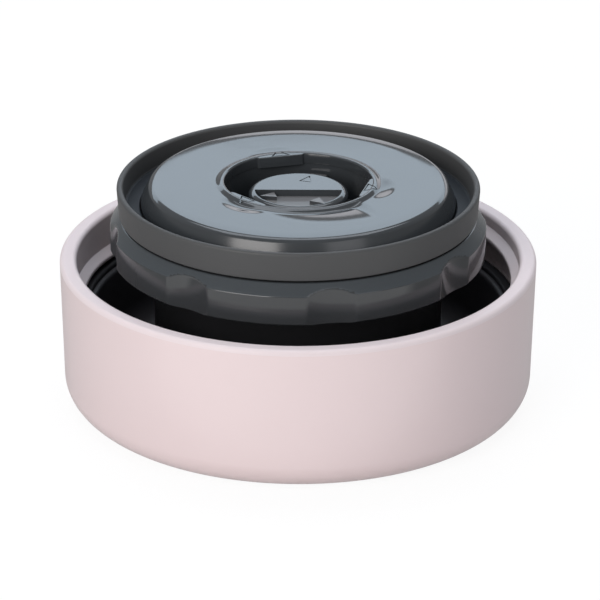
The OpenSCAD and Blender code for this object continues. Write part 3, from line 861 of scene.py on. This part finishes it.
class BOWL_OT_head(bpy.types.Operator):
    """Turn the stopper's head with its standing ring and the button's guide"""
    bl_idname = "bowl.head"
    bl_label = "Head"

    def execute(self, context):
        s = context.scene.stopper_sizes
        inside = s.head_radius - s.head_wall
        ceiling = s.head_face + s.head_wall
        guide_wall = s.guide_radius + s.head_wall
        rebate = 1.2 * MM
        inner_corner = 1.2 * MM
        bm = lathe([
            (s.guide_radius, s.head_face, EDGE),
            (s.stand_inner, s.head_face, EDGE),
            (s.stand_inner, s.head_foot, SOFT_EDGE),
            (s.stand_outer, s.head_foot, SOFT_EDGE),
            (s.stand_outer, s.head_face, 0.0),
            (s.head_radius, s.head_face, s.head_corner),
            (s.head_radius, s.head_top, 0.0),
            (inside + rebate, s.head_top, 0.0),
            (inside + rebate, s.head_top - rebate, 0.0),
            (inside, s.head_top - rebate, 0.0),
            (inside, ceiling, inner_corner),
            (guide_wall, ceiling, EDGE),
            (guide_wall, s.guide_top, 0.0),
            (s.guide_radius, s.guide_top, 0.0),
        ])
        set_piece(bm, "lid_head", "stopper", "satin_head", "grey_head", "head_cover")
        return {"FINISHED"}


class BOWL_OT_grip(bpy.types.Operator):
    """Turn the grip ring and press its finger hollows into the edge"""
    bl_idname = "bowl.grip"
    bl_label = "Grip Ring"

    def execute(self, context):
        s = context.scene.stopper_sizes
        wall = 1.8 * MM
        web = 2.0 * MM
        crease = s.grip_top - s.shoulder_height
        spigot_inside = s.spigot_radius - wall
        spigot_foot = s.grip_foot - 4.0 * MM
        collar = s.spigot_radius + 0.6 * MM
        collar_top = s.grip_top + 2.0 * MM
        inner_edge = s.grip_radius - 4.3 * MM
        shoulder_start = (s.grip_radius - 0.3 * MM, crease + 0.325 * MM)
        shoulder_end = (s.shoulder_radius, s.grip_top)
        bm = lathe([
            (spigot_inside, spigot_foot, EDGE),
            (s.spigot_radius, spigot_foot, EDGE),
            (s.spigot_radius, s.grip_foot, 0.0),
            (s.grip_radius, s.grip_foot, SOFT_EDGE),
            (s.grip_radius, crease, s.grip_crease),
            *rows(shoulder_start, shoulder_end, 8),
            (*shoulder_end, EDGE),
            (collar + wall, s.grip_top, 0.0),
            (collar + wall, collar_top, 0.0),
            (collar, collar_top, 0.0),
            (collar, s.grip_top - web, 0.0),
            (inner_edge, s.grip_top - web, 0.0),
            (inner_edge, s.grip_foot + web, 0.0),
            (spigot_inside, s.grip_foot + web, 0.0),
        ], GRIP_STEPS)
        self.press_hollows(bm, s)
        grip = set_piece(bm, "lid_grip", "stopper", "gloss_grip", "grey_grip", "grip_ring")

        # The shoulder's faces take a lighter blue-grey copy of the grip's finish, a painted sheen.
        def on_shoulder(face):
            return 0.5 < face.normal.z < 0.9 and face.center.z > crease

        second_finish(grip, "satin_shoulder_sheen", on_shoulder)
        return {"FINISHED"}

    def press_hollows(self, bm, s):
        """Moves the edge inwards where a round finger would press it, softly at the hollow's rim."""
        soft = 0.1 * MM
        bend = s.scallop_width ** 2 / (8.0 * s.scallop_depth) + s.scallop_depth / 2.0
        finger = s.grip_radius - s.scallop_depth + bend
        step = math.tau / s.scallop_count
        for vert in bm.verts:
            flat = vert.co.xy.length
            if flat < s.shoulder_radius - 1.0 * MM:
                continue
            turn = (math.atan2(vert.co.y, vert.co.x) - s.scallop_angle + step / 2.0) % step - step / 2.0
            inside = bend ** 2 - (finger * math.sin(turn)) ** 2
            if inside > 0.0:
                edge = finger * math.cos(turn) - math.sqrt(inside)
                pull_to(vert, (flat + edge - math.hypot(flat - edge, soft)) / 2.0)


class BOWL_OT_seal(bpy.types.Operator):
    """Turn the silicone seal with its upright lip"""
    bl_idname = "bowl.seal"
    bl_label = "Seal Ring"

    def execute(self, context):
        s = context.scene.stopper_sizes
        low = foot("seal_ring")
        foot_radius = s.seal_radius - 2.3 * MM
        foot_top = low + 0.4 * MM
        inner = s.skirt_radius + 0.2 * MM
        floor = low + 2.3 * MM
        lip = s.seal_radius - s.lip_wall
        lip_top = s.seal_top - 0.2 * MM
        bead = s.lip_wall / 2.0 - 0.01 * MM
        low_edge = 0.4 * MM
        bm = lathe([
            (inner, low, 0.0),
            (foot_radius, low, FINE_EDGE),
            (foot_radius, foot_top, 0.0),
            (s.seal_radius, foot_top, low_edge),
            (s.seal_radius + s.lip_flare, lip_top, bead),
            (lip + s.lip_flare, lip_top, bead),
            (lip, floor, SOFT_EDGE),
            (inner, floor, low_edge),
        ])
        seal = set_piece(bm, "lid_seal", "stopper", "soft_seal", "grey_silicone", "seal_ring")
        groove_top = floor + 0.3 * MM
        # The groove's low upward faces take the darker finish, a painted shade.
        second_finish(seal, "seal_groove_shade", lambda face: face.normal.z > 0.5 and face.center.z < groove_top)
        return {"FINISHED"}


class BOWL_OT_plate(bpy.types.Operator):
    """Turn the sealing plate, set its bayonet tabs in the well and cut their pointer marks"""
    bl_idname = "bowl.plate"
    bl_label = "Sealing Plate"

    def execute(self, context):
        s = context.scene.stopper_sizes
        skin = 1.8 * MM
        vent = 5.0 * MM
        seat = 6.4 * MM
        seat_top = s.well_floor + 0.8 * MM
        seat_edge = 0.15 * MM
        well_wall = s.well_radius + skin
        under = s.plate_top - skin
        under_corner = 0.5 * MM
        undercut = s.well_radius + 0.2 * MM
        undercut_edge = 0.05 * MM
        lip = s.tab_foot + 0.15 * MM
        skirt_inside = s.skirt_radius - 2.3 * MM
        skirt_top = s.grip_top + 3.4 * MM
        skirt_edge = 0.8 * MM
        bm = lathe([
            (s.skirt_radius, s.grip_top, 0.0),
            (s.skirt_radius, skirt_top, skirt_edge),
            (s.plate_radius, s.plate_top - self.crown(s, s.plate_radius, s.plate_bend), s.plate_edge),
            *self.face_rows(s),
            *self.rim_slope(s),
            (s.well_radius, s.rim_top, s.well_edge),
            (s.well_radius, lip, undercut_edge),
            (undercut, lip - 0.1 * MM, 0.0),
            (undercut, s.well_floor, SOFT_EDGE),
            (seat, s.well_floor, 0.0),
            (seat, seat_top, seat_edge),
            (vent, seat_top, seat_edge),
            (vent, s.plate_foot, 0.0),
            (well_wall, s.plate_foot, EDGE),
            (well_wall, under, 0.0),
            (skirt_inside, under, under_corner),
            (skirt_inside, s.grip_top, 0.0),
        ], PLATE_STEPS)
        self.settle(bm, s)
        bm = combine(bm, self.tabs(s), "UNION")
        bm = combine(bm, self.marks(s), "DIFFERENCE")
        plate = set_piece(bm, "lid_plate", "stopper", "gloss_plate", "grey_plate", "dome_plate")
        edge_start = s.plate_radius + 0.05 * MM
        second_finish(plate, "satin_edge", lambda face: face.center.xy.length > edge_start)
        return {"FINISHED"}

    def rim_slope(self, s):
        """Corners of the slope from the plate's face up to the flat of the well's rim."""
        steps = 14
        corners = []
        for i in range(steps + 1):
            share = i / steps
            width = s.rim_width + (s.rim_flat - s.rim_width) * share
            height = s.plate_top + (s.rim_top - s.plate_top) * smooth(share)
            corners.append((s.well_radius + width, height, 0.0))
        return corners

    def crown(self, s, flat, bend):
        """Depth of the slow fall of the plate's face towards its edge."""
        return bend / 2.0 * max(0.0, min(flat, s.plate_radius) - s.plate_radius + s.plate_crown) ** 2

    def face_rows(self, s):
        """Corners of the plate's face from its edge to the foot of the well's rim, close where it bends.

        Each stop is a radius and the number of rows from it to the next.
        """
        stops = (
            (s.plate_radius - s.plate_edge - 0.1 * MM, 14),
            (s.plate_radius - s.plate_crown, 3),
            (s.well_radius + 11.3 * MM, 38),
            (s.well_radius + s.rim_width, 0),
        )
        radii = []
        for (start, count), (end, _) in zip(stops, stops[1:]):
            radii += [start + (end - start) * i / count for i in range(count)]
        return [(flat, s.plate_top - self.crown(s, flat, s.plate_bend), 0.0) for flat in radii]

    def settle(self, bm, s):
        """Lowers the plate's face by the rim, behind the tabs and along the back edge, as mouldings settle."""
        extra_bend = 22.0
        start = math.radians(18.0)
        end = math.radians(134.0)
        edge_foot = s.plate_top - 1.5 * MM
        face_foot = s.plate_top - 0.01 * MM
        for vert in bm.verts:
            flat = vert.co.xy.length
            around = math.atan2(vert.co.y, vert.co.x)
            if flat > s.plate_radius - s.plate_crown:
                if vert.co.z > edge_foot and start < around < end:
                    share = math.sin(math.pi * (around - start) / (end - start))
                    vert.co.z -= self.crown(s, flat, extra_bend * share)
            elif flat > s.well_radius + s.rim_flat and vert.co.z > face_foot:
                vert.co.z -= self.hollow(s, flat, around)

    def hollow(self, s, flat, around):
        """Depth of the crescent in front of the well's rim and of the pits behind the tabs."""
        root = s.well_radius + 2.9 * MM
        crest = s.well_radius + s.rim_flat
        depth = self.crescent(s, flat, around, root) + self.pit(s, flat, around, root)
        return depth * smooth((flat - crest - 0.3 * MM) / (root - crest - 0.8 * MM))

    def crescent(self, s, flat, around, root):
        """Depth of the hollow between the two front tabs, slim at its left end and blunt at its right."""
        bend = 10.0
        widest = 9.0 * MM
        widest_from, growth, end_share = 0.8, 0.6, 0.2
        step = math.tau / 3.0
        tab_half = math.asin((s.tab_width / 2.0 + 0.3 * MM) / s.well_radius)
        past_tab = (around - s.tab_angle - step) % math.tau - tab_half
        share = past_tab / (step - 2.0 * tab_half)
        if not 0.0 < share < 1.0:
            return 0.0
        width = widest * min(1.0, share / widest_from) ** growth * smooth((1.0 - share) / end_share)
        return bend / 2.0 * max(0.0, root + width - max(flat, root)) ** 2

    def pit(self, s, flat, around, root):
        """Depth of the oval pit behind each tab, shallow behind the back one."""
        deepest = 0.3 * MM
        reach_out = 2.8 * MM
        reach_along = 7.0 * MM
        shift = 1.5 * MM
        back_share = 0.3
        step = math.tau / 3.0
        turn = (around - s.tab_angle + step / 2.0) % step - step / 2.0
        away = ((flat - root - 0.2 * MM) / reach_out) ** 2 + ((flat * turn - shift) / reach_along) ** 2
        at_back = math.sin(around) > 0.5
        return deepest * max(0.0, 1.0 - away) ** 2 * (back_share if at_back else 1.0)

    def tabs(self, s):
        """Three tabs with rounded free corners that stand out of the well's wall."""
        root = s.well_radius + 0.9 * MM
        half = s.tab_width / 2.0
        bm = bmesh.new()
        places = ((s.tab_inner, -half), (root, -half), (root, half), (s.tab_inner, half))
        corners = [bm.verts.new((x, y, s.tab_foot)) for x, y in places]
        bm.faces.new(corners)
        round_corners(bm, [corners[0], corners[3]], s.tab_corner, 6)
        tab = raise_faces(bm, s.tab_top - s.tab_foot)
        soften(tab, EDGE, lambda place: place.z > s.tab_top - 0.01 * MM and place.x < root - 0.1 * MM)
        tabs = ring_of(tab, 3, s.tab_angle)
        outer = disc(root, s.tab_foot - OVERSHOOT, s.tab_top + OVERSHOOT, TURN_STEPS)
        return combine(tabs, outer, "INTERSECT")

    def marks(self, s):
        """A triangle line on each tab that points to the plate."""
        base = s.tab_inner + 0.35 * MM
        tip = s.well_radius + 2.0 * MM
        width = 4.8 * MM
        depth = 0.35 * MM
        line = 0.3 * MM
        mark = pointer(base, tip, width, s.tab_top - depth, s.tab_top + OVERSHOOT, line)
        return ring_of(mark, 3, s.tab_angle)


# Valve

MARK_WIDTH = 3.1 * MM


class BOWL_OT_cap(bpy.types.Operator):
    """Turn the valve cap, cut its half-moon pocket and add lugs and pointer marks"""
    bl_idname = "bowl.cap"
    bl_label = "Valve Cap"

    def execute(self, context):
        s = context.scene.valve_sizes
        skirt_top = s.cap_foot + 1.0 * MM
        bm = lathe([
            (0.0, s.cap_ceiling, 0.0),
            (s.cap_bore, s.cap_ceiling, EDGE),
            (s.cap_bore, s.cap_foot, 0.0),
            (s.cap_skirt, s.cap_foot, FINE_EDGE),
            (s.cap_skirt, skirt_top, EDGE),
            (s.cap_radius, skirt_top, EDGE),
            (s.cap_radius, s.cap_top, s.cap_edge),
            (0.0, s.cap_top, 0.0),
        ])
        bm = combine(bm, self.lugs(s), "UNION")
        bm = combine(bm, self.pocket(s), "DIFFERENCE")
        bm = combine(bm, self.windows(context), "DIFFERENCE")
        bm = combine(bm, self.islands(s), "UNION")
        bm = combine(bm, self.line(s), "DIFFERENCE")
        cap = set_piece(bm, "lid_cap", "valve_cap", "gloss_plate", "grey_plate", "valve_cap")
        # The upward faces in the pocket take the lighter finish, a painted sheen.
        low = s.pocket_floor - 0.01 * MM
        high = s.cap_top - 0.5 * MM
        second_finish(cap, "matt_pocket_sheen", lambda face: face.normal.z > 0.7 and low < face.center.z < high)
        return {"FINISHED"}

    def lugs(self, s):
        """Three bayonet lugs that a turn of the cap brings under the tabs."""
        half = s.lug_width / 2.0
        root = s.cap_bore + 0.8 * MM
        end_edge = 0.4 * MM
        lug = block((root, -half, s.lug_foot), (s.lug_reach, half, s.lug_top))
        soften(lug, end_edge, lambda place: place.x > s.lug_reach - 0.01 * MM)
        return ring_of(lug, 3, s.mark_angle)

    def pocket(self, s):
        """The half-moon pocket in the front of the cap's face."""
        bm = bmesh.new()
        bmesh.ops.create_circle(
            bm, cap_ends=True, segments=128, radius=s.pocket_radius,
            matrix=Matrix.Translation((0.0, 0.0, s.pocket_floor)))
        bmesh.ops.bisect_plane(
            bm, geom=bm.verts[:] + bm.edges[:] + bm.faces[:], plane_co=ORIGIN, plane_no=(0.0, 1.0, 0.0),
            clear_outer=True)
        return raise_faces(bm, s.cap_top - s.pocket_floor + OVERSHOOT)

    def windows(self, context):
        """Three vent windows between the lugs."""
        s = context.scene.valve_sizes
        half = 2.5 * MM
        low = s.cap_foot + 1.4 * MM
        high = low + 1.6 * MM
        window = block((s.cap_bore - OVERSHOOT, -half, low), (s.cap_skirt + OVERSHOOT, half, high))
        return ring_of(window, 3, context.scene.stopper_sizes.tab_angle + math.pi / 3.0)

    def islands(self, s):
        """Two raised pointer triangles in the pocket, at the second and third lug."""
        base = 5.5 * MM
        tip = 9.2 * MM
        low = s.pocket_floor - 0.3 * MM
        high = s.pocket_floor + 0.9 * MM
        second, third = (
            ring_of(pointer(base, tip, MARK_WIDTH, low, high), 1, s.mark_angle + count * math.tau / 3.0)
            for count in (1.0, 2.0))
        return combine(second, third, "UNION")

    def line(self, s):
        """An engraved pointer triangle on the cap's flat."""
        base = 5.4 * MM
        tip = 9.3 * MM
        depth = 0.25 * MM
        line = 0.28 * MM
        mark = pointer(base, tip, MARK_WIDTH, s.cap_top - depth, s.cap_top + OVERSHOOT, line)
        return ring_of(mark, 1, s.mark_angle)


class BOWL_OT_button(bpy.types.Operator):
    """Turn the pressure-release button under the head"""
    bl_idname = "bowl.button"
    bl_label = "Button"

    def execute(self, context):
        s = context.scene.valve_sizes
        wall = 1.6 * MM
        flange = s.button_radius + 1.8 * MM
        ceiling = s.button_foot + wall
        inside = s.button_radius - wall
        shelf = s.button_top - wall
        boss = 3.7 * MM
        bore = 2.55 * MM
        dish = 0.5 * MM
        dish_foot = s.button_foot + 0.3 * dish
        dish_radius = s.button_radius - 2.6 * MM
        dish_bend = 1.2 * MM
        face_radius = s.button_radius - 1.4 * MM
        face_edge = 0.4 * MM
        outer_edge = 0.8 * MM
        ceiling_corner = 0.5 * MM
        bm = lathe([
            (0.0, s.button_foot + dish, 0.0),
            (dish_radius, dish_foot, dish_bend),
            (face_radius, s.button_foot, face_edge),
            (s.button_radius, s.button_foot, outer_edge),
            (s.button_radius, shelf, 0.0),
            (flange, shelf, 0.0),
            (flange, s.button_top, FINE_EDGE),
            (inside, s.button_top, FINE_EDGE),
            (inside, ceiling, ceiling_corner),
            (boss, ceiling, EDGE),
            (boss, s.button_top, FINE_EDGE),
            (bore, s.button_top, 0.0),
            (bore, ceiling, 0.0),
            (0.0, ceiling, 0.0),
        ])
        set_piece(bm, "lid_button", "button", "satin_head", "grey_head", "push_button")
        return {"FINISHED"}


class BOWL_OT_spring(bpy.types.Operator):
    """Wind the valve's compression spring with closed ends"""
    bl_idname = "bowl.spring"
    bl_label = "Spring"

    def execute(self, context):
        s = context.scene.valve_sizes
        per_turn = 40
        steps = round(s.spring_turns * per_turn)
        closed = per_turn
        bm = bmesh.new()
        stand = Matrix.Translation((s.spring_radius, 0.0, s.spring_foot + s.wire_radius))
        bmesh.ops.create_circle(
            bm, cap_ends=False, segments=12, radius=s.wire_radius,
            matrix=stand @ Matrix.Rotation(math.pi / 2.0, 4, "X"))
        wire = 2.0 * s.wire_radius
        slow = wire / per_turn
        room = s.spring_top - s.spring_foot - wire
        quick = (room - 2.0 * closed * slow) / (steps - 2.0 * closed)

        def lift(i):
            return slow if i <= closed or i > steps - closed else quick

        bm = wind(bm, s.spring_turns * math.tau, steps, lift, lambda i, verts: None)
        spring = set_piece(bm, "lid_spring", "stopper", "spring_wire", "spring_steel", "valve_spring")
        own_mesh(spring)
        return {"FINISHED"}


class BOWL_OT_inner_parts(bpy.types.Operator):
    """Give the hidden parts of the frame their finishes"""
    bl_idname = "bowl.inner_parts"
    bl_label = "Inner Parts"

    def execute(self, context):
        for name, finish in INNER_NODES.items():
            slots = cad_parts[name].material_slots
            if not slots:
                raise RuntimeError(f"{name} has no material slot.")
            for place in slots:
                place.material = bpy.data.materials[finish]
        return {"FINISHED"}


# Stage

# Name, azimuth, elevation, distance, width, height and radiance of each soft panel, in degrees and metres
SOFT_PANELS = (
    ("left_panel", -33.0, 25.0, 1.3, 0.75, 0.70, (4.7, 4.55, 4.47)),
    ("right_panel", 36.0, 25.0, 1.3, 0.60, 0.70, (1.0, 1.0, 1.03)),
    ("front_panel", 0.0, 66.0, 1.6, 1.6, 0.6, (0.58, 0.66, 0.74)),
    ("top_panel", 180.0, 68.0, 1.6, 1.6, 0.9, (2.05, 2.2, 2.4)),
    ("back_panel", 180.0, 25.15, 1.6, 2.4, 0.272, (1.16, 1.4, 1.63)),
    ("low_strip", 165.0, 12.9, 1.6, 1.3, 0.274, (0.95, 0.94, 1.0)),
)


def panel_light(name, azimuth, elevation, distance, width, height, radiance):
    """A soft panel that faces the lid. Azimuth 0 is the camera's side and 90 the right."""
    turn = math.radians(azimuth)
    rise = math.radians(elevation)
    aim = Vector((0.0, 0.0, 50.0 * MM))
    way = Vector((math.sin(turn) * math.cos(rise), -math.cos(turn) * math.cos(rise), math.sin(rise)))
    brightest = max(radiance)
    light = bpy.data.lights.new(name, "AREA")
    light.shape = "RECTANGLE"
    light.size = width
    light.size_y = height
    light.color = [part / brightest for part in radiance]
    light.energy = 4.0 * width * height * brightest
    lamp = bpy.data.objects.new(name, light)
    lamp.location = aim + way * distance
    lamp.rotation_mode = "QUATERNION"
    lamp.rotation_quaternion = (-way).to_track_quat("-Z", "Y")
    lamp.visible_camera = False
    bpy.context.scene.collection.objects.link(lamp)


def ray_level(tree, seen, mirrored, lighting):
    """A level for each kind of ray: seen by the camera, mirrored in a gloss, or lighting the object.

    Gives the node whose To Max is the mirrored level, and the socket with the result.
    """
    path = add(tree, "ShaderNodeLightPath")
    gloss = add(tree, "ShaderNodeMapRange", {"To Min": lighting, "To Max": mirrored})
    tree.links.new(path.outputs["Is Glossy Ray"], gloss.inputs["Value"])
    view = add(tree, "ShaderNodeMapRange", {"To Max": seen})
    tree.links.new(path.outputs["Is Camera Ray"], view.inputs["Value"])
    tree.links.new(gloss.outputs["Result"], view.inputs["To Min"])
    return gloss, view.outputs["Result"]


def set_floor(gleam, dim):
    """A wide white floor with a trace of the object's shadow.

    In reflections its lit front gleams and the rest is dim.
    """
    seen = 1.035
    glow_share = 0.88
    gleam_end = -75.0 * MM
    dim_start = -58.0 * MM
    bm = bmesh.new()
    bmesh.ops.create_grid(bm, x_segments=1, y_segments=1, size=6.0)
    mesh = bpy.data.meshes.new("studio_floor")
    bm.to_mesh(mesh)
    bm.free()
    floor = bpy.data.objects.new("studio_floor", mesh)
    bpy.context.scene.collection.objects.link(floor)
    material = bpy.data.materials.new("floor_white")
    material.use_nodes = True
    tree = material.node_tree
    tree.nodes.remove(tree.nodes["Principled BSDF"])
    paper = add(tree, "ShaderNodeBsdfDiffuse", {"Color": (0.86, 0.86, 0.86, 1.0)})
    glow = add(tree, "ShaderNodeEmission", {"Color": (1.0, 1.0, 1.0, 1.0)})
    mix = add(tree, "ShaderNodeMixShader")
    place = add(tree, "ShaderNodeSeparateXYZ")
    tree.links.new(add(tree, "ShaderNodeTexCoord").outputs["Object"], place.inputs[0])
    front = add(tree, "ShaderNodeMapRange", {
        "From Min": gleam_end, "From Max": dim_start, "To Min": gleam, "To Max": dim})
    tree.links.new(place.outputs["Y"], front.inputs["Value"])
    gloss, strength = ray_level(tree, seen, dim, 0.0)
    tree.links.new(front.outputs["Result"], gloss.inputs["To Max"])
    tree.links.new(strength, glow.inputs["Strength"])
    tree.links.new(ray_level(tree, glow_share, 1.0, 0.0)[1], mix.inputs["Fac"])
    tree.links.new(paper.outputs[0], mix.inputs[1])
    tree.links.new(glow.outputs[0], mix.inputs[2])
    tree.links.new(mix.outputs[0], tree.nodes["Material Output"].inputs["Surface"])
    mesh.materials.append(material)


def set_world(scene, surround, ambient):
    """White where it is seen, dim in reflections and softer still where it lights the object."""
    world = bpy.data.worlds.new("studio_white")
    world.use_nodes = True
    tree = world.node_tree
    background = tree.nodes["Background"]
    background.inputs["Color"].default_value = (1.0, 1.0, 1.0, 1.0)
    tree.links.new(ray_level(tree, 1.0, surround, ambient)[1], background.inputs["Strength"])
    scene.world = world


def set_camera(scene, studio):
    """The camera of the product view."""
    lens = bpy.data.cameras.new("product_view")
    lens.lens = studio.lens
    lens.sensor_width = 36.0
    lens.shift_x = 0.0033
    lens.shift_y = -0.042
    target = Vector((0.0, 0.0, 30.0 * MM))
    camera = bpy.data.objects.new("product_view", lens)
    camera.location = (0.0, -studio.camera_back, studio.camera_height)
    aim = target - camera.location
    roll = Quaternion(UP, studio.camera_roll)
    camera.rotation_mode = "QUATERNION"
    camera.rotation_quaternion = aim.to_track_quat("-Z", "Y") @ roll
    scene.collection.objects.link(camera)
    scene.camera = camera


class BOWL_OT_stage(bpy.types.Operator):
    """Set the floor, the soft panels, the world and the camera"""
    bl_idname = "bowl.stage"
    bl_label = "Stage"

    def execute(self, context):
        scene = context.scene
        studio = scene.bowl_studio
        set_floor(studio.floor_gleam, studio.floor_dim)
        set_world(scene, studio.surround, studio.ambient)
        for panel in SOFT_PANELS:
            panel_light(*panel)
        bpy.data.objects["front_panel"].visible_glossy = False
        set_camera(scene, studio)
        scene.view_settings.view_transform = "Standard"
        return {"FINISHED"}


# Panel and registration

OPERATORS = (
    BOWL_OT_finishes, BOWL_OT_shell, BOWL_OT_mouth, BOWL_OT_lining, BOWL_OT_head, BOWL_OT_grip, BOWL_OT_seal,
    BOWL_OT_plate, BOWL_OT_cap, BOWL_OT_button, BOWL_OT_spring, BOWL_OT_inner_parts, BOWL_OT_stage)

SETTINGS = {
    "bowl_sizes": BowlSizes,
    "stopper_sizes": StopperSizes,
    "valve_sizes": ValveSizes,
    "bowl_colours": FinishColours,
    "bowl_studio": StudioSettings,
}


class BOWL_PT_sidebar(bpy.types.Panel):
    """Lists the sizes, the colours and the steps that build the bowl"""
    bl_idname = "BOWL_PT_sidebar"
    bl_label = "Insulated Bowl"
    bl_space_type = "VIEW_3D"
    bl_region_type = "UI"
    bl_category = "Bowl"

    def draw(self, context):
        for operator in OPERATORS:
            self.layout.operator(operator.bl_idname)
        for name, group in SETTINGS.items():
            box = self.layout.box()
            box.label(text=group.__doc__)
            for size in group.__annotations__:
                box.prop(getattr(context.scene, name), size)


CLASSES = (*SETTINGS.values(), *OPERATORS, BOWL_PT_sidebar)


def register():
    for cls in CLASSES:
        bpy.utils.register_class(cls)
    for name, group in SETTINGS.items():
        setattr(bpy.types.Scene, name, PointerProperty(type=group))


def unregister():
    for name in SETTINGS:
        delattr(bpy.types.Scene, name)
    for cls in reversed(CLASSES):
        bpy.utils.unregister_class(cls)


def main():
    register()
    for operator in OPERATORS:
        step = operator.bl_idname.split(".")[1]
        getattr(bpy.ops.bowl, step)()


if __name__ == "__main__":
    main()
